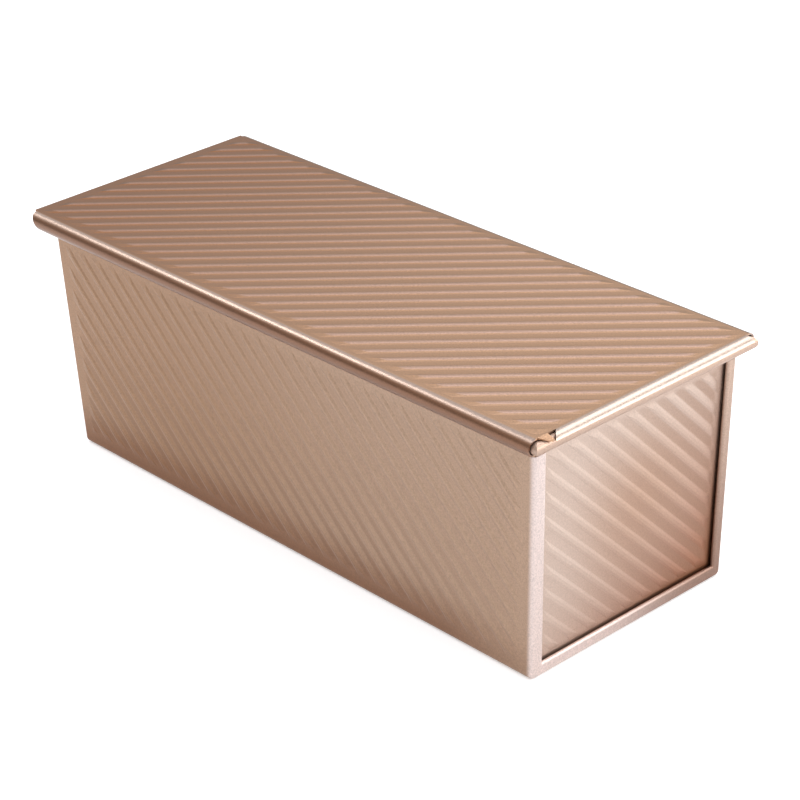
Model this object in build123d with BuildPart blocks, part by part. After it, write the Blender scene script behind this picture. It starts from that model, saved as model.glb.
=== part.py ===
from build123d import *
import math
import os

os.makedirs("parts", exist_ok=True)

# All lengths are millimetres. X runs along the loaf and the lid slides off towards +X,
# Y runs across it, Z is up, and the pan stands on Z = 0.

# Sheet and overall sizes
sheet = 0.8
pan_height = 120.0
bottom_length = 306.4
bottom_width = 119.0
side_lean = 0.78
end_lean = 2.9

# Folds of the trough and of the hem round each end
corner_bend = 2.6
hem_width = 6.2
hem_shift = 0.9
hem_outer_bend = 1.7
hem_inner_bend = 1.3
hem_lip = 0.2
hem_gap = 3.9

# Rolled rim and the wire inside it
bead_r = 3.1
bead_roll = 300.0
bead_overhang = 3.35
bead_gap = 1.0
wire_play = 0.2

# End panels, set back behind the hem and folded forwards into it
fit_play = 0.1
recess_low = 2.7
recess_high = 2.5
flange_gap = 1.8
flange_bend = 1.2
kick_drop = 1.0
kick_angle = 45.0
kick_bend = 3.0

# Lid
lid_play = 0.5
curl_sweep = 200.0
curl_rear_overhang = 6.1
rear_tab = 1.7
curl_front_slant = 1.5
curl_rear_slant = 5.0
nose_sweep = 65.0
nose_inset_left = 10.6
nose_inset_right = 1.9
nose_left_flare = 4.7
nose_right_flare = 2.0
tab_slope = 18.0
tab_reach = 4.4
tab_inset = 5.0

# Stamped ribs
rib_pitch = 8.1
rib_rise = 0.45
rib_foot = 4.2
rib_crest = 1.4
rib_runout = 4.0
wall_rib_margin = 7.0
end_rib_margin = 2.0
lid_rib_margin = 1.2
lid_rear_rib_margin = 4.5
rib_margin_under_bead = 6.4

# Sizes that follow from the ones above
side_tilt = math.radians(side_lean)
end_tilt = math.radians(end_lean)
bead_mid = bead_r - sheet / 2
curl_r = bead_r + lid_play + sheet
curl_mid = curl_r - sheet / 2
bead_z = pan_height - curl_r
wall_top = bead_z + bead_mid * math.sin(side_tilt)
bead_low = bead_z - bead_r
hem_top = bead_low - hem_gap
kick_start = hem_top - kick_drop
across = bottom_width * 2
overall = bottom_length * 2


def wall_face(height):
    """Half the width over the outer faces of the long walls at this height."""
    return bottom_width / 2 + height * math.tan(side_tilt)


def hem_tip(height):
    """Half the length over the hems at this height."""
    return bottom_length / 2 + height * math.tan(end_tilt)


end_bead_reach = hem_tip(bead_z) + bead_overhang
side_bead_reach = hem_tip(hem_top) - hem_outer_bend
side_bead_y = wall_face(wall_top) + (bead_mid - sheet / 2) * math.cos(side_tilt)
curl_rear_reach = end_bead_reach + curl_rear_overhang
lid_rear_reach = curl_rear_reach + rear_tab
nose_reach = end_bead_reach + curl_r * math.sin(math.radians(nose_sweep))
pan_middle = (lid_rear_reach - nose_reach) / 2
panel_slope = (hem_tip(kick_start) - recess_high - hem_tip(0) + recess_low) / kick_start
panel_lean = math.degrees(math.atan(panel_slope))
nose_left = -side_bead_y + nose_inset_left
nose_left_tip = nose_left - nose_left_flare
nose_right = side_bead_y - nose_inset_right
nose_right_tip = nose_right + nose_right_flare


def end_plane(side, lean, foot):
    """Leaning plane across one end: side is 1 at the front and -1 at the rear."""
    tilt = math.radians(lean)
    return Plane(
        origin=(pan_middle + side * foot, 0, 0),
        x_dir=(0, side, 0),
        z_dir=(side * math.cos(tilt), 0, -math.sin(tilt)),
    )


def trough_section(inset, top, bend):
    """Cross-section of the trough, filled, drawn this far inside its outer faces."""
    low = wall_face(inset) - inset / math.cos(side_tilt)
    high = wall_face(top) - inset / math.cos(side_tilt)
    with BuildSketch(Plane.YZ.offset(pan_middle)) as section:
        with BuildLine():
            Polyline((-low, inset), (low, inset), (high, top), (-high, top), close=True)
        make_face()
        if bend > 0:
            fillet(section.vertices().group_by(Axis.Y)[0], radius=bend)
    return section.sketch


def trough_block(inset, top, bend, end_inset, end_bend):
    """Solid trough between the two leaning ends, with rounded end edges."""
    with BuildPart() as block:
        extrude(trough_section(inset, top, bend), amount=overall / 2, both=True)
        for side in (1, -1):
            tip_plane = end_plane(side, end_lean, bottom_length / 2)
            split(bisect_by=tip_plane.offset(-end_inset), keep=Keep.BOTTOM)
        for end_face in (block.faces().sort_by(Axis.X)[-1], block.faces().sort_by(Axis.X)[0]):
            fillet(end_face.edges().sort_by(Axis.Z)[:-1], radius=end_bend)
    return block.part


def rib_outline(face_plane, corners):
    """Block that ribs are trimmed to: upright below the face, its sides sloping in above it."""
    slope = math.atan2(rib_rise, rib_runout)
    across_x, across_y = face_plane.x_dir, face_plane.y_dir
    with BuildPart() as outline:
        with BuildSketch(face_plane.offset(-sheet)):
            Polygon(*corners, align=None)
        extrude(amount=2 * sheet)
        for start, end in zip(corners, corners[1:] + corners[:1]):
            edge = (across_x * (end[0] - start[0]) + across_y * (end[1] - start[1])).normalized()
            inward = face_plane.z_dir.cross(edge)
            corner = face_plane.origin + across_x * start[0] + across_y * start[1]
            outward = face_plane.z_dir * math.cos(slope) - inward * math.sin(slope)
            split(bisect_by=Plane(origin=corner, x_dir=edge, z_dir=outward), keep=Keep.BOTTOM)
    return outline.part


def rib_field(face_plane, corners, heading, level):
    """Parallel ribs on a panel: trapezoid bars trimmed to the outline given by corners."""
    turn = math.radians(heading)
    along = face_plane.x_dir * math.cos(turn) + face_plane.y_dir * math.sin(turn)
    aside = face_plane.y_dir * math.cos(turn) - face_plane.x_dir * math.sin(turn)
    reach = max(math.hypot(x, y) for x, y in corners)
    count = int(reach // rib_pitch)
    with BuildPart() as field:
        with BuildSketch(Plane(origin=face_plane.origin, x_dir=aside, z_dir=along)):
            with Locations(*[(number * rib_pitch, 0) for number in range(-count, count + 1)]):
                Polygon(
                    (-rib_foot / 2, level - sheet / 2),
                    (rib_foot / 2, level - sheet / 2),
                    (rib_foot / 2, level),
                    (rib_crest / 2, level + rib_rise),
                    (-rib_crest / 2, level + rib_rise),
                    (-rib_foot / 2, level),
                    align=None,
                )
        extrude(amount=reach, both=True)
        add(rib_outline(face_plane.offset(level), corners), mode=Mode.INTERSECT)
    return field.part


def hem_lip_sweep(side):
    """Inner edge of the hem: turned back off the flat band, mitred at both low corners."""
    tip_plane = end_plane(side, end_lean, bottom_length / 2)
    inset = hem_width - hem_inner_bend
    climb = math.cos(end_tilt)
    low = wall_face(inset) - inset
    high = wall_face(hem_top) - inset
    with BuildLine(tip_plane.offset(-sheet / 2)) as path:
        Polyline(
            (-high + side * hem_shift, hem_top / climb),
            (-low + side * hem_shift, inset),
            (low + side * hem_shift, inset),
            (high + side * hem_shift, hem_top / climb),
        )
    start = path.line @ 0
    heading = path.line % 0
    inward = tip_plane.z_dir.cross(heading)
    with BuildPart() as lip:
        with BuildSketch(Plane(origin=start, x_dir=inward, z_dir=heading)) as profile:
            with BuildLine():
                bend = JernArc((0, 0), (1, 0), hem_inner_bend - sheet / 2, -90)
                Line(bend @ 1, (bend @ 1) + (bend % 1) * hem_lip)
            trace(line_width=sheet)
        sweep(sections=profile.sketch, path=path.line, transition=Transition.RIGHT)
    return lip.part


def wall_plane(side):
    """Outer face of a long wall, measured from the table up the wall: side is 1 at +Y."""
    return Plane(
        origin=(pan_middle, side * bottom_width / 2, 0),
        x_dir=(-side, 0, 0),
        z_dir=(0, side * math.cos(side_tilt), -math.sin(side_tilt)),
    )


# Folded blanks and rib patterns that the pieces below are cut from
outside = trough_block(0, wall_top, corner_bend, 0, hem_outer_bend)
inside_bend = corner_bend - sheet
inside = trough_block(sheet, wall_top + sheet, inside_bend, sheet, hem_outer_bend - sheet)
hem_lips = [hem_lip_sweep(side) for side in (1, -1)]

wall_low = wall_rib_margin
rib_top = bead_low - rib_margin_under_bead
wall_corners = [
    (-hem_tip(wall_low) + wall_rib_margin, wall_low),
    (hem_tip(wall_low) - wall_rib_margin, wall_low),
    (hem_tip(rib_top) - wall_rib_margin, rib_top),
    (-hem_tip(rib_top) + wall_rib_margin, rib_top),
]
floor_long = bottom_length / 2 - wall_rib_margin
floor_wide = bottom_width / 2 - wall_rib_margin
floor_corners = [
    (-floor_long, -floor_wide),
    (floor_long, -floor_wide),
    (floor_long, floor_wide),
    (-floor_long, floor_wide),
]
floor_plane = Plane(origin=(pan_middle, 0, sheet), x_dir=(1, 0, 0), z_dir=(0, 0, 1))
near_wall = (wall_plane(-1), wall_corners, -45)
far_wall = (wall_plane(1), wall_corners, 135)
floor = (floor_plane, floor_corners, 45)
body_ridges = [rib_field(*panel, 0) for panel in (near_wall, far_wall, floor)]
body_grooves = [rib_field(*panel, -sheet) for panel in (near_wall, far_wall, floor)]

# One sheet folded into the bottom and both long walls, hemmed round both ends
with BuildPart() as body_sheet:
    add(outside)
    add(inside, mode=Mode.SUBTRACT)
    window = trough_section(hem_width - hem_inner_bend, wall_top + sheet, 0)
    window = window.moved(Location((0, hem_shift, 0)))
    extrude(window, amount=overall / 2, both=True, mode=Mode.SUBTRACT)
    for side in (1, -1):
        with BuildSketch(Plane.XZ):
            with Locations((pan_middle + side * side_bead_reach, hem_top)):
                corner = (Align.MIN if side > 0 else Align.MAX, Align.MIN)
                Rectangle(across, pan_height, align=corner)
        extrude(amount=across, both=True, mode=Mode.SUBTRACT)
    add(hem_lips)
    with BuildSketch(Plane.YZ.offset(pan_middle)):
        with BuildLine():
            root = (wall_face(wall_top) - sheet / 2 * math.cos(side_tilt), wall_top)
            JernArc(root, (math.sin(side_tilt), math.cos(side_tilt)), bead_mid, -bead_roll)
            mirror(about=Plane.YZ)
        trace(line_width=sheet)
    extrude(amount=side_bead_reach, both=True)
    add(body_ridges)
    add(body_grooves, mode=Mode.SUBTRACT)

body_sheet.part.label = "body_sheet"

# Front end panel: folded forwards along three edges and rolled over the wire at the top
inset = sheet + fit_play
front_face = end_plane(1, panel_lean, bottom_length / 2 - recess_low)
flange_trim = end_plane(1, end_lean, bottom_length / 2).offset(-flange_gap)
with BuildPart() as tray_hollow:
    section = trough_section(inset + sheet, pan_height, corner_bend - inset - sheet)
    extrude(section, amount=overall / 2, both=True)
    split(bisect_by=front_face, keep=Keep.TOP)

end_low = hem_width + end_rib_margin
end_corners = [
    (-wall_face(end_low) + end_low, end_low),
    (wall_face(end_low) - end_low, end_low),
    (wall_face(rib_top) - end_low, rib_top),
    (-wall_face(rib_top) + end_low, rib_top),
]
end_ridges = rib_field(front_face, end_corners, -45, 0)
end_grooves = rib_field(front_face, end_corners, -45, -sheet)

kick = math.radians(kick_angle)
panel_foot = bottom_length / 2 - recess_low - sheet / 2 / math.cos(math.radians(panel_lean))
kick_x = panel_foot + kick_start * panel_slope
kick_run = end_bead_reach - bead_mid - kick_x - 2 * kick_bend * (1 - math.cos(kick))

# End rim: rolled round the wire, with a short return mitred on at both corners
end_section = Plane(origin=(pan_middle, 0, 0), x_dir=(1, 0, 0), z_dir=(0, -1, 0))
with BuildPart() as end_roll:
    with BuildSketch(end_section):
        with BuildLine():
            JernArc((end_bead_reach - bead_mid, bead_z), (0, 1), bead_mid, -bead_roll)
        trace(line_width=sheet)
    extrude(amount=across / 2, both=True)
    for side in (1, -1):
        corner = (pan_middle + end_bead_reach, side * side_bead_y, bead_z)
        split(bisect_by=Plane(origin=corner, z_dir=(-1, side, 0)), keep=Keep.BOTTOM)

with BuildPart() as end_returns:
    with BuildSketch(Plane.YZ.offset(pan_middle + side_bead_reach + bead_gap)):
        with BuildLine():
            JernArc((side_bead_y - bead_mid, bead_z), (0, 1), bead_mid, -bead_roll)
        trace(line_width=sheet)
    extrude(amount=across)
    corner = (pan_middle + end_bead_reach, side_bead_y, bead_z)
    split(bisect_by=Plane(origin=corner, z_dir=(-1, 1, 0)), keep=Keep.TOP)
    mirror(about=Plane.XZ)

with BuildPart() as front_end_panel:
    section = trough_section(inset, kick_start, corner_bend - inset)
    extrude(section, amount=overall / 2, both=True)
    split(bisect_by=front_face.offset(-sheet), keep=Keep.TOP)
    split(bisect_by=flange_trim, keep=Keep.BOTTOM)
    broad = front_end_panel.faces().sort_by(SortBy.AREA)[-2:]
    fillet(broad.sort_by(Axis.X)[0].edges().sort_by(Axis.Z)[:-1], radius=flange_bend)
    add(tray_hollow.part, mode=Mode.SUBTRACT)
    with BuildSketch(end_section):
        with BuildLine():
            lead = Line((kick_x - sheet * panel_slope, kick_start - sheet), (kick_x, kick_start))
            outward = JernArc(lead @ 1, lead % 1, kick_bend, -kick_angle + panel_lean)
            ramp = Line(outward @ 1, (outward @ 1) + (outward % 1) * (kick_run / math.sin(kick)))
            upright = JernArc(ramp @ 1, ramp % 1, kick_bend, kick_angle)
            Line(upright @ 1, ((upright @ 1).X, bead_z))
        trace(line_width=sheet)
    extrude(amount=wall_face(kick_start) - inset, both=True)
    add(end_roll.part)
    add(end_returns.part)
    add(end_ridges)
    add(end_grooves, mode=Mode.SUBTRACT)

front_end_panel.part.label = "front_end_panel"

# Rear end panel, the same pressing turned to face the other way
with BuildPart() as rear_end_panel:
    mirror(front_end_panel.part, about=Plane.YZ.offset(pan_middle))

rear_end_panel.part.label = "rear_end_panel"

# Closed wire hoop inside all four rolled rims
rim_plane = Plane(origin=(pan_middle, 0, bead_z), x_dir=(1, 0, 0), z_dir=(0, 0, 1))
with BuildLine(rim_plane) as hoop:
    Polyline(
        (0, -side_bead_y),
        (end_bead_reach, -side_bead_y),
        (end_bead_reach, side_bead_y),
        (-end_bead_reach, side_bead_y),
        (-end_bead_reach, -side_bead_y),
        close=True,
    )

with BuildPart() as rim_wire:
    with BuildSketch(Plane(origin=hoop.line @ 0, z_dir=hoop.line % 0)) as rod:
        Circle(bead_r - sheet - wire_play)
    sweep(sections=rod.sketch, path=hoop.line, transition=Transition.RIGHT)

rim_wire.part.label = "rim_wire"

# Sliding lid: flat ribbed plate, a curl hooked under each side bead and a rolled nose in front
lid_top = Plane(origin=(pan_middle, 0, pan_height), x_dir=(1, 0, 0), z_dir=(0, 0, 1))
lid_wide = side_bead_y - lid_rib_margin
lid_rib_front = end_bead_reach - lid_rib_margin
lid_rib_rear = lid_rear_reach - lid_rear_rib_margin
lid_corners = [
    (-lid_rib_rear, -lid_wide),
    (lid_rib_front, -lid_wide),
    (lid_rib_front, lid_wide),
    (-lid_rib_rear, lid_wide),
]
lid_ridges = rib_field(lid_top, lid_corners, 45, 0)
lid_grooves = rib_field(lid_top, lid_corners, 45, -sheet)

tilt = math.radians(tab_slope)
tab_plane = Plane(
    origin=(pan_middle + end_bead_reach, 0, pan_height),
    x_dir=(math.cos(tilt), 0, -math.sin(tilt)),
    z_dir=(math.sin(tilt), 0, math.cos(tilt)),
)

with BuildPart() as lid:
    with BuildSketch(lid_top.offset(-sheet)):
        Polygon(
            (-lid_rear_reach, -side_bead_y),
            (end_bead_reach, -side_bead_y),
            (end_bead_reach, side_bead_y),
            (-lid_rear_reach, side_bead_y),
            align=None,
        )
    extrude(amount=sheet)
    with BuildSketch(tab_plane):
        Polygon(
            (0, -side_bead_y),
            (tab_reach, -side_bead_y + tab_inset),
            (tab_reach, nose_left_tip),
            (0, nose_left),
            align=None,
        )
    extrude(amount=-sheet)
    with BuildSketch(Plane.YZ.offset(pan_middle - curl_rear_reach)):
        with BuildLine():
            JernArc((side_bead_y, pan_height - sheet / 2), (1, 0), curl_mid, -curl_sweep)
            mirror(about=Plane.YZ)
        trace(line_width=sheet)
    extrude(amount=curl_rear_reach + end_bead_reach)
    drop = 2 * curl_r - sheet
    lid_under = (pan_middle, 0, pan_height - sheet)
    with BuildSketch(Plane(origin=lid_under, x_dir=(1, 0, 0), z_dir=(0, -1, 0))):
        Polygon(
            (end_bead_reach, 0),
            (end_bead_reach, -drop),
            (end_bead_reach - curl_front_slant, -drop),
            align=None,
        )
        Polygon(
            (-curl_rear_reach, 0),
            (-curl_rear_reach + curl_rear_slant, -drop),
            (-curl_rear_reach, -drop),
            align=None,
        )
    extrude(amount=across, both=True, mode=Mode.SUBTRACT)
    nose_end = (pan_middle, nose_left_tip, 0)
    with BuildSketch(Plane(origin=nose_end, x_dir=(1, 0, 0), z_dir=(0, -1, 0))):
        with BuildLine():
            JernArc((end_bead_reach, pan_height - sheet / 2), (1, 0), curl_mid, -nose_sweep)
        trace(line_width=sheet)
    extrude(amount=nose_left_tip - nose_right_tip)
    nose_tip = nose_reach + sheet
    with BuildSketch(lid_top):
        Polygon(
            (end_bead_reach, nose_left),
            (end_bead_reach, nose_left_tip),
            (nose_tip, nose_left_tip),
            align=None,
        )
        Polygon(
            (end_bead_reach, nose_right),
            (nose_tip, nose_right_tip),
            (end_bead_reach, nose_right_tip),
            align=None,
        )
    extrude(amount=-2 * curl_r, mode=Mode.SUBTRACT)
    add(lid_ridges)
    add(lid_grooves, mode=Mode.SUBTRACT)

lid.part.label = "lid"

for piece in (body_sheet, front_end_panel, rear_end_panel, rim_wire, lid):
    export_step(piece.part, "parts/" + piece.part.label + ".step")
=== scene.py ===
import math
from collections import namedtuple

import bpy
from mathutils import Matrix, Vector


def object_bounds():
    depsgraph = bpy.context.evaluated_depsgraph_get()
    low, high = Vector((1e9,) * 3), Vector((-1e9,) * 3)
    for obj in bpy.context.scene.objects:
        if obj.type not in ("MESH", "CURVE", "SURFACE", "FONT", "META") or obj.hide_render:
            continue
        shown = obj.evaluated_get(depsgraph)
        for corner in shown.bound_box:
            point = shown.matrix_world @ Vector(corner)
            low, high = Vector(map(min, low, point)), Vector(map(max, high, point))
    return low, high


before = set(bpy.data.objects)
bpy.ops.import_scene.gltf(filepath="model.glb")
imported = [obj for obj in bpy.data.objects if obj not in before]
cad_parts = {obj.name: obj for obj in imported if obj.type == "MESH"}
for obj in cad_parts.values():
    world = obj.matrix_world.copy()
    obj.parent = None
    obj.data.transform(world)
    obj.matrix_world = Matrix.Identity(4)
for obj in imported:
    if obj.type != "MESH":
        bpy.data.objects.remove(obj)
cad_low, cad_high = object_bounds()

scene = bpy.context.scene
scene.view_settings.view_transform = "Standard"

# Sizes and places are in metres in the shared frame, and angles are in degrees.
FRONT, SIDE, TOP = cad_high
PAN_MIDDLE = 0.0019
PAN_HALF_LENGTH = 0.1532
PAN_LEAN = 2.9
AIM = Vector((PAN_MIDDLE, 0, 0.060))

# Camera fitted to the outlines in the photograph
CAMERA_AZIMUTH = -41.97
CAMERA_ELEVATION = 27.47
CAMERA_ROLL = -2.24
CAMERA_DISTANCE = 1.20534
CAMERA_SIDE_STEP = 0.00942
CAMERA_RISE = -0.00468
CAMERA_SHIFT = -0.00225
CAMERA_LENS = 118.77
CAMERA_SENSOR = 36
CAMERA_NEAR, CAMERA_FAR = 0.05, 20


def towards(azimuth, elevation):
    """Unit vector from the pan to this compass direction and height."""
    a, e = math.radians(azimuth), math.radians(elevation)
    return Vector((math.cos(a) * math.cos(e), math.sin(a) * math.cos(e), math.sin(e)))


def add_camera():
    back = towards(CAMERA_AZIMUTH, CAMERA_ELEVATION)
    roll = math.radians(CAMERA_ROLL)
    side = Vector((0, 0, 1)).cross(back).normalized()
    rise = back.cross(side)
    right = math.cos(roll) * side + math.sin(roll) * rise
    up = math.cos(roll) * rise - math.sin(roll) * side
    place = AIM + back * CAMERA_DISTANCE + right * CAMERA_SIDE_STEP + up * CAMERA_RISE
    turn = Matrix((right, up, back)).transposed().to_4x4()
    bpy.ops.object.camera_add()
    camera = bpy.context.object
    camera.matrix_world = Matrix.Translation(place) @ turn
    camera.data.sensor_width = CAMERA_SENSOR
    camera.data.lens = CAMERA_LENS
    camera.data.shift_x = CAMERA_SHIFT
    camera.data.clip_start = CAMERA_NEAR
    camera.data.clip_end = CAMERA_FAR
    scene.camera = camera


# Stamped ribs, in step with those of the solids. A panel has the direction across its ribs,
# the place of its first rib along it, and the stretch of each axis that the ribs fill.
RIB_PITCH = 0.0081
RIB_SOFT_EDGE = 0.004
DIAGONAL = math.sqrt(0.5)
FIRST_RIB = PAN_MIDDLE * DIAGONAL
WALL_ENDS = (-0.147, 0.151)
WALL_HEIGHTS = (0.007, 0.106)
NEAR_WALL = (-0.075, -0.055)
FAR_WALL = (0.055, 0.075)
FLOOR_ENDS = (-0.144, 0.148)
FLOOR_SIDES = (-0.0525, 0.0525)
FLOOR_HEIGHTS = (-0.010, 0.005)
END_SIDES = (-0.052, 0.052)
END_HEIGHTS = (0.008, 0.106)
LID_ENDS = (-0.164, 0.163)
LID_SIDES = (-0.061, 0.061)

RibPanel = namedtuple("RibPanel", "across first stretch")
near_wall_ribs = RibPanel((DIAGONAL, 0, DIAGONAL), FIRST_RIB, (WALL_ENDS, NEAR_WALL, WALL_HEIGHTS))
far_wall_ribs = RibPanel((DIAGONAL, 0, -DIAGONAL), FIRST_RIB, (WALL_ENDS, FAR_WALL, WALL_HEIGHTS))
floor_ribs = RibPanel((-DIAGONAL, DIAGONAL, 0), -FIRST_RIB, (FLOOR_ENDS, FLOOR_SIDES, FLOOR_HEIGHTS))
end_ribs = RibPanel((0, DIAGONAL, DIAGONAL), 0, (None, END_SIDES, END_HEIGHTS))
lid_ribs = RibPanel((-DIAGONAL, DIAGONAL, 0), -FIRST_RIB, (LID_ENDS, LID_SIDES, None))


class Finish:
    """One material's nodes, with short calls for the sums that its patterns are made of."""

    def __init__(self, name):
        self.material = bpy.data.materials.new(name)
        self.material.use_nodes = True
        self.nodes = self.material.node_tree.nodes
        self.links = self.material.node_tree.links
        self.shader = self.nodes["Principled BSDF"]

    def read_place(self):
        """The place on the piece, whole and along each axis."""
        self.place = self.nodes.new("ShaderNodeTexCoord").outputs["Object"]
        split = self.nodes.new("ShaderNodeSeparateXYZ")
        self.links.new(self.place, split.inputs["Vector"])
        self.x, self.y, self.z = (split.outputs[axis] for axis in "XYZ")

    def sum(self, operation, *values):
        """One sum on some values, each a socket or a plain number."""
        node = self.nodes.new("ShaderNodeMath")
        node.operation = operation
        for socket, value in zip(node.inputs, values):
            if isinstance(value, (int, float)):
                socket.default_value = value
            else:
                self.links.new(value, socket)
        return node.outputs["Value"]

    def times(self, value, other):
        return self.sum("MULTIPLY", value, other)

    def plus(self, value, other):
        return self.sum("ADD", value, other)

    def minus(self, value, other):
        return self.sum("SUBTRACT", value, other)

    def size(self, value):
        return self.sum("ABSOLUTE", value)

    def fade(self, value, low, high):
        """0 at one place along an axis and 1 at the other, smooth between them."""
        node = self.nodes.new("ShaderNodeMapRange")
        node.interpolation_type = "SMOOTHSTEP"
        node.inputs["From Min"].default_value = low
        node.inputs["From Max"].default_value = high
        self.links.new(value, node.inputs["Value"])
        return node.outputs["Result"]

    def share(self, mask, low, high):
        """One share where the mask is 0 and the other where it is 1."""
        return self.sum("MULTIPLY_ADD", mask, high - low, low)

    def inside(self, value, low, high, soft=RIB_SOFT_EDGE):
        """1 between two places along an axis, fading to 0 towards both."""
        half = (high - low) / 2
        away = self.size(self.minus(value, low + half))
        return self.minus(1, self.fade(away, half - soft, half))

    def rib_wave(self, panel):
        """Wave that is 1 along the tops of a panel's ribs and -1 along the grooves."""
        run = self.times(self.x, panel.across[0])
        run = self.plus(run, self.times(self.y, panel.across[1]))
        run = self.plus(run, self.times(self.z, panel.across[2]))
        run = self.minus(run, panel.first)
        wave = self.sum("COSINE", self.times(run, 2 * math.pi / RIB_PITCH))
        for axis, stretch in zip((self.x, self.y, self.z), panel.stretch):
            if stretch:
                wave = self.times(wave, self.inside(axis, *stretch))
        return wave

    def colour_in(self, tone, socket):
        """Sends a tone, either a socket or a plain colour, into a socket."""
        if isinstance(tone, tuple):
            socket.default_value = (*tone, 1)
        else:
            self.links.new(tone, socket)

    def tint(self, before, colour, mask):
        """The tone before, turned to this colour where the mask is 1."""
        mix = self.nodes.new("ShaderNodeMix")
        mix.data_type = "RGBA"
        factor, first, second = mix.inputs[0], mix.inputs[6], mix.inputs[7]
        self.links.new(mask, factor)
        self.colour_in(before, first)
        self.colour_in(colour, second)
        return mix.outputs[2]


# Satin coating: its fine grain, and the clear layer on top
GRAIN_SCALE = 1400
GRAIN_DETAIL = 3
GRAIN_DEPTH = 0.00005
CLEAR_ROUGHNESS = 0.3


def coated_steel(name, colour, roughness, clear, speckle, ribs=(), rib_swell=0.0, zones=()):
    """Sheet steel in a satin coating, with grain, rounded ribs, and zones of another tone that paint
    in light and shade.
    """
    finish = Finish(name)
    finish.read_place()
    links, shader = finish.links, finish.shader
    shader.inputs["Metallic"].default_value = 1
    shader.inputs["Roughness"].default_value = roughness
    shader.inputs["Coat Weight"].default_value = clear
    shader.inputs["Coat Roughness"].default_value = CLEAR_ROUGHNESS

    noise = finish.nodes.new("ShaderNodeTexNoise")
    noise.inputs["Scale"].default_value = GRAIN_SCALE
    noise.inputs["Detail"].default_value = GRAIN_DETAIL
    links.new(finish.place, noise.inputs["Vector"])
    grain = noise.outputs["Fac"]
    height = finish.times(grain, GRAIN_DEPTH)
    for panel in ribs:
        height = finish.plus(height, finish.times(finish.rib_wave(panel), rib_swell))
    bump = finish.nodes.new("ShaderNodeBump")
    bump.inputs["Strength"].default_value = 1
    bump.inputs["Distance"].default_value = 1
    links.new(height, bump.inputs["Height"])
    links.new(bump.outputs["Normal"], shader.inputs["Normal"])

    tone = colour
    # Each zone paints light or shade into the base colour
    for zone_colour, zone in zones:
        tone = finish.tint(tone, zone_colour, zone(finish))
    specks = finish.nodes.new("ShaderNodeHueSaturation")
    finish.colour_in(tone, specks.inputs["Color"])
    links.new(finish.share(grain, 1 - speckle / 2, 1 + speckle / 2), specks.inputs["Value"])
    links.new(specks.outputs["Color"], shader.inputs["Base Color"])
    return finish.material


# Body sheet: painted light, pale towards the front; painted reflection, pale on the front hem;
# painted shade, deep in the grooves, at the foot and at the hem's low far corner
BODY_TONE = (0.43, 0.255, 0.15)
BODY_FRONT_PAINTED_LIGHT = (0.52, 0.355, 0.25)
BODY_GROOVE_PAINTED_SHADE = (0.22, 0.10, 0.04)
BODY_FOOT_PAINTED_SHADE = (0.23, 0.075, 0.014)
HEM_PAINTED_REFLECTION = (0.77, 0.645, 0.60)
HEM_CORNER_PAINTED_SHADE = (0.24, 0.115, 0.075)


def body_front_painted_light(finish):
    """Painted light: the front half of the walls, paler towards the front."""
    pale_from, pale_to, most = -0.10, 0.10, 0.85
    return finish.times(finish.fade(finish.x, pale_from, pale_to), most)


def body_groove_painted_shade(finish):
    """Painted shade in the grooves between the wall ribs, clearest low down and towards the rear."""
    groove_edge, groove_floor = -0.2, -0.9
    clear_below, faint_front, clear_rear = 0.080, 0.165, 0.050
    faint, clear = 0.13, 0.43
    wave = finish.plus(finish.rib_wave(near_wall_ribs), finish.rib_wave(far_wall_ribs))
    depth = finish.share(finish.fade(finish.z, clear_below, 0), faint, clear)
    depth = finish.times(depth, finish.fade(finish.x, faint_front, clear_rear))
    return finish.times(finish.fade(wave, groove_edge, groove_floor), depth)


def body_foot_painted_shade(finish):
    """Painted shade in a low band round the foot, fainter at the front corner."""
    band_top, faint_front, full_rear = 0.026, 0.155, 0.090
    faint, full = 0.25, 0.75
    depth = finish.share(finish.fade(finish.x, faint_front, full_rear), faint, full)
    return finish.times(finish.fade(finish.z, band_top, 0), depth)


def front_hem_painted_reflection(finish):
    """Painted reflection, pale on the turned faces of the front hem, fainter on the far side."""
    outside, wall_reach, edge = -0.0100, 0.0034, 0.0030
    near_side, far_side, far_share = -0.02, 0.06, 0.25
    end_plane = finish.plus(finish.times(finish.z, math.tan(math.radians(PAN_LEAN))), PAN_HALF_LENGTH)
    depth = finish.minus(end_plane, finish.minus(finish.x, PAN_MIDDLE))
    band = finish.inside(depth, outside, wall_reach, edge)
    return finish.times(band, finish.share(finish.fade(finish.y, near_side, far_side), 1, far_share))


def hem_corner_painted_shade(finish):
    """Painted shade at the low far corner of the front hem."""
    hem_start, hem_full = 0.1490, 0.1510
    slope, pale_end, deep_end, most = 0.8, -0.045, 0.065, 0.75
    slant = finish.minus(finish.y, finish.times(finish.z, slope))
    corner = finish.fade(slant, pale_end, deep_end)
    return finish.times(finish.times(finish.fade(finish.x, hem_start, hem_full), corner), most)


def body_coating():
    return coated_steel(
        "body_coating_look", BODY_TONE, roughness=0.50, clear=0.6, speckle=0.7,
        ribs=(near_wall_ribs, far_wall_ribs, floor_ribs), rib_swell=0.00002,
        zones=(
            (BODY_FRONT_PAINTED_LIGHT, body_front_painted_light),
            (BODY_GROOVE_PAINTED_SHADE, body_groove_painted_shade),
            (BODY_FOOT_PAINTED_SHADE, body_foot_painted_shade),
            (HEM_PAINTED_REFLECTION, front_hem_painted_reflection),
            (HEM_CORNER_PAINTED_SHADE, hem_corner_painted_shade),
        ),
    )


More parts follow.
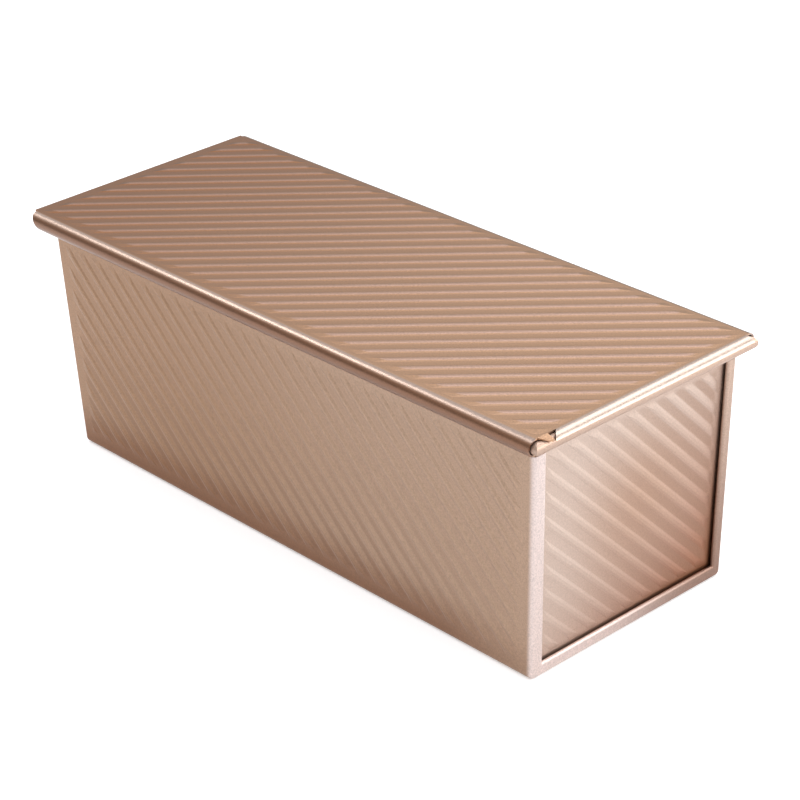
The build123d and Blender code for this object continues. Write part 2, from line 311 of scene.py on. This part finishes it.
# End panels: pale at the top near corner; painted shade makes them warm in the middle and deep at the
# low far corner, in the grooves and on the rim
END_TONE = (0.64, 0.505, 0.425)
END_CORNER_PAINTED_SHADE = (0.36, 0.13, 0.05)
END_MIDDLE_PAINTED_SHADE = (0.48, 0.27, 0.165)
END_GROOVE_PAINTED_SHADE = (0.30, 0.16, 0.095)
END_RIM_PAINTED_SHADE = (0.56, 0.40, 0.31)


def end_corner_painted_shade(finish):
    """Painted shade towards the low far corner of the panel."""
    slope, pale_end, deep_end = 0.9, -0.09, 0.06
    slant = finish.minus(finish.times(finish.y, slope), finish.z)
    return finish.fade(slant, pale_end, deep_end)


def end_middle_painted_shade(finish):
    """Painted shade in a soft round zone in the middle of the panel."""
    middle_y, middle_z, reach, most = 0.006, 0.062, 0.055, 0.6
    side = finish.minus(finish.y, middle_y)
    rise = finish.minus(finish.z, middle_z)
    away = finish.sum("SQRT", finish.plus(finish.times(side, side), finish.times(rise, rise)))
    return finish.times(finish.fade(away, reach, 0), most)


def end_groove_painted_shade(finish):
    """Painted shade in the grooves between the panel's ribs, clearest on the far side."""
    rib_edge, groove_edge = 0.5, -0.5
    faint_side, clear_side, faint, clear = -0.04, 0.05, 0.09, 0.54
    depth = finish.share(finish.fade(finish.y, faint_side, clear_side), faint, clear)
    return finish.times(finish.fade(finish.rib_wave(end_ribs), rib_edge, groove_edge), depth)


def end_rim_painted_shade(finish):
    """Painted shade, darker on the panel's rolled rim."""
    kick_low, kick_high = TOP - 0.0119, TOP - 0.0104
    return finish.fade(finish.z, kick_low, kick_high)


def end_coating():
    return coated_steel(
        "end_coating_look", END_TONE, roughness=0.48, clear=0.4, speckle=0.4,
        ribs=(end_ribs,), rib_swell=0.00007,
        zones=(
            (END_CORNER_PAINTED_SHADE, end_corner_painted_shade),
            (END_MIDDLE_PAINTED_SHADE, end_middle_painted_shade),
            (END_GROOVE_PAINTED_SHADE, end_groove_painted_shade),
            (END_RIM_PAINTED_SHADE, end_rim_painted_shade),
        ),
    )


# Lid: painted shade, deeper towards the rear and on the curl flanks; painted highlight, pink on the
# ribs, with pale curl tops and nose
LID_TONE = (0.575, 0.332, 0.188)
LID_REAR_PAINTED_SHADE = (0.275, 0.100, 0.024)
LID_RIDGE_PAINTED_HIGHLIGHT = (0.70, 0.47, 0.40)
CURL_TOP_PAINTED_HIGHLIGHT = (0.42, 0.305, 0.245)
CURL_FLANK_PAINTED_SHADE = (0.25, 0.115, 0.058)
NOSE_PAINTED_HIGHLIGHT = (0.46, 0.36, 0.30)


def lid_rear_painted_shade(finish):
    """Painted shade over the whole lid, deepening from the front to just past the rear."""
    light_front, deep_rear = 0.17, -0.22
    return finish.fade(finish.x, light_front, deep_rear)


def lid_ridge_painted_highlight(finish):
    """Painted highlight along the tops of the ribs, clearest at the front."""
    ridge_edge, ridge_top = 0.35, 0.85
    rear, front, faint, clear = -0.17, 0.17, 0.28, 0.58
    depth = finish.share(finish.fade(finish.x, rear, front), faint, clear)
    return finish.times(finish.fade(finish.rib_wave(lid_ribs), ridge_edge, ridge_top), depth)


def curl_top_painted_highlight(finish):
    """Painted highlight on the tops of the side curls."""
    curl_start, curl_full = SIDE - 0.0043, SIDE - 0.0030
    return finish.fade(finish.size(finish.y), curl_start, curl_full)


def curl_flank_painted_shade(finish):
    """Painted shade on the outer and lower faces of the side curls."""
    curl_start, curl_full = SIDE - 0.0043, SIDE - 0.0028
    flank_full, flank_end = TOP - 0.0024, TOP - 0.0010
    outer = finish.fade(finish.size(finish.y), curl_start, curl_full)
    return finish.times(outer, finish.fade(finish.z, flank_end, flank_full))


def lid_nose_painted_highlight(finish):
    """Painted highlight on the turned-down nose, which ends short of the near corner tab."""
    nose_start, nose_full = FRONT - 0.0047, FRONT - 0.0035
    nose_end_low, nose_end_high = -0.0570, -0.0560
    front = finish.fade(finish.x, nose_start, nose_full)
    return finish.times(front, finish.fade(finish.y, nose_end_low, nose_end_high))


def lid_coating():
    return coated_steel(
        "lid_coating_look", LID_TONE, roughness=0.32, clear=0.8, speckle=0.7,
        ribs=(lid_ribs,), rib_swell=0.00004,
        zones=(
            (LID_REAR_PAINTED_SHADE, lid_rear_painted_shade),
            (LID_RIDGE_PAINTED_HIGHLIGHT, lid_ridge_painted_highlight),
            (CURL_TOP_PAINTED_HIGHLIGHT, curl_top_painted_highlight),
            (CURL_FLANK_PAINTED_SHADE, curl_flank_painted_shade),
            (NOSE_PAINTED_HIGHLIGHT, lid_nose_painted_highlight),
        ),
    )


# Rim wire: plain drawn steel, hidden in the rolled rims
WIRE_TONE = (0.5, 0.48, 0.46)


def drawn_wire():
    return coated_steel("wire_steel_look", WIRE_TONE, roughness=0.3, clear=0, speckle=0.7)


SMOOTH_BELOW = 30


def dress(material, *names):
    """Gives these nodes their material, and shades their gentle bends smooth."""
    for name in names:
        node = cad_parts[name]
        node.data.materials.clear()
        node.data.materials.append(material)
        bpy.ops.object.select_all(action="DESELECT")
        node.select_set(True)
        bpy.context.view_layer.objects.active = node
        bpy.ops.object.shade_smooth_by_angle(angle=math.radians(SMOOTH_BELOW))


# Soft boxes: azimuth, elevation, distance, width, height and power in watts
SOFT_BOXES = {
    "key_soft_box": (200, 45, 1.6, 0.4, 0.25, 2.4),
    "side_soft_box": (70, 48, 1.6, 0.9, 0.5, 4.5),
    "front_soft_box": (38, 16, 1.5, 0.9, 0.6, 7),
}


def add_soft_box(name, azimuth, elevation, distance, width, height, power):
    back = towards(azimuth, elevation)
    bpy.ops.object.light_add(type="AREA")
    lamp = bpy.context.object
    lamp.name = name
    lamp.data.shape = "RECTANGLE"
    lamp.data.size = width
    lamp.data.size_y = height
    lamp.data.energy = power
    lamp.location = AIM + back * distance
    lamp.rotation_mode = "QUATERNION"
    lamp.rotation_quaternion = back.to_track_quat("Z", "Y")


# Studio walls, dim below and brighter and cooler overhead: height on a unit ball and colour
STUDIO_TONES = (
    (0.0, (0.35, 0.34, 0.33)),
    (0.3, (0.5, 0.48, 0.455)),
    (0.5, (0.88, 0.8448, 0.8008)),
    (0.9, (1.12, 1.17, 1.28)),
)


def add_studio():
    world = bpy.data.worlds.new("studio")
    scene.world = world
    world.use_nodes = True
    nodes, links = world.node_tree.nodes, world.node_tree.links
    place = nodes.new("ShaderNodeTexCoord")
    split = nodes.new("ShaderNodeSeparateXYZ")
    ramp = nodes.new("ShaderNodeValToRGB")
    stops = ramp.color_ramp.elements
    while len(stops) < len(STUDIO_TONES):
        stops.new(0.5)
    for stop, (height, colour) in zip(stops, STUDIO_TONES):
        stop.position = height
        stop.color = (*colour, 1)
    links.new(place.outputs["Generated"], split.inputs["Vector"])
    links.new(split.outputs["Z"], ramp.inputs["Fac"])
    links.new(ramp.outputs["Color"], nodes["Background"].inputs["Color"])
    nodes["Background"].inputs["Strength"].default_value = 1


# White paper under the pan, with a little glow of its own where it is seen or mirrored
PAPER_SIZE = 8
PAPER_DROP = 0.0003
PAPER_TONE = 0.9
PAPER_ROUGHNESS = 0.9
GLOW_SEEN = 0.45
GLOW_MIRRORED = 0.15


def add_floor():
    bpy.ops.mesh.primitive_plane_add(size=PAPER_SIZE, location=(0, 0, -PAPER_DROP))
    floor = bpy.context.object
    floor.name = "floor"
    paper = Finish("floor_paper")
    paper.shader.inputs["Base Color"].default_value = (PAPER_TONE, PAPER_TONE, PAPER_TONE, 1)
    paper.shader.inputs["Roughness"].default_value = PAPER_ROUGHNESS
    paper.shader.inputs["Emission Color"].default_value = (1, 1, 1, 1)
    ray = paper.nodes.new("ShaderNodeLightPath").outputs
    mirrored = paper.sum("MAXIMUM", ray["Is Glossy Ray"], ray["Is Transmission Ray"])
    glow = paper.times(mirrored, GLOW_MIRRORED)
    glow = paper.plus(glow, paper.times(ray["Is Camera Ray"], GLOW_SEEN))
    paper.links.new(glow, paper.shader.inputs["Emission Strength"])
    floor.data.materials.append(paper.material)


dress(body_coating(), "body_sheet")
dress(end_coating(), "front_end_panel", "rear_end_panel")
dress(drawn_wire(), "rim_wire")
dress(lid_coating(), "lid")
for name, setting in SOFT_BOXES.items():
    add_soft_box(name, *setting)
add_studio()
add_floor()
add_camera()
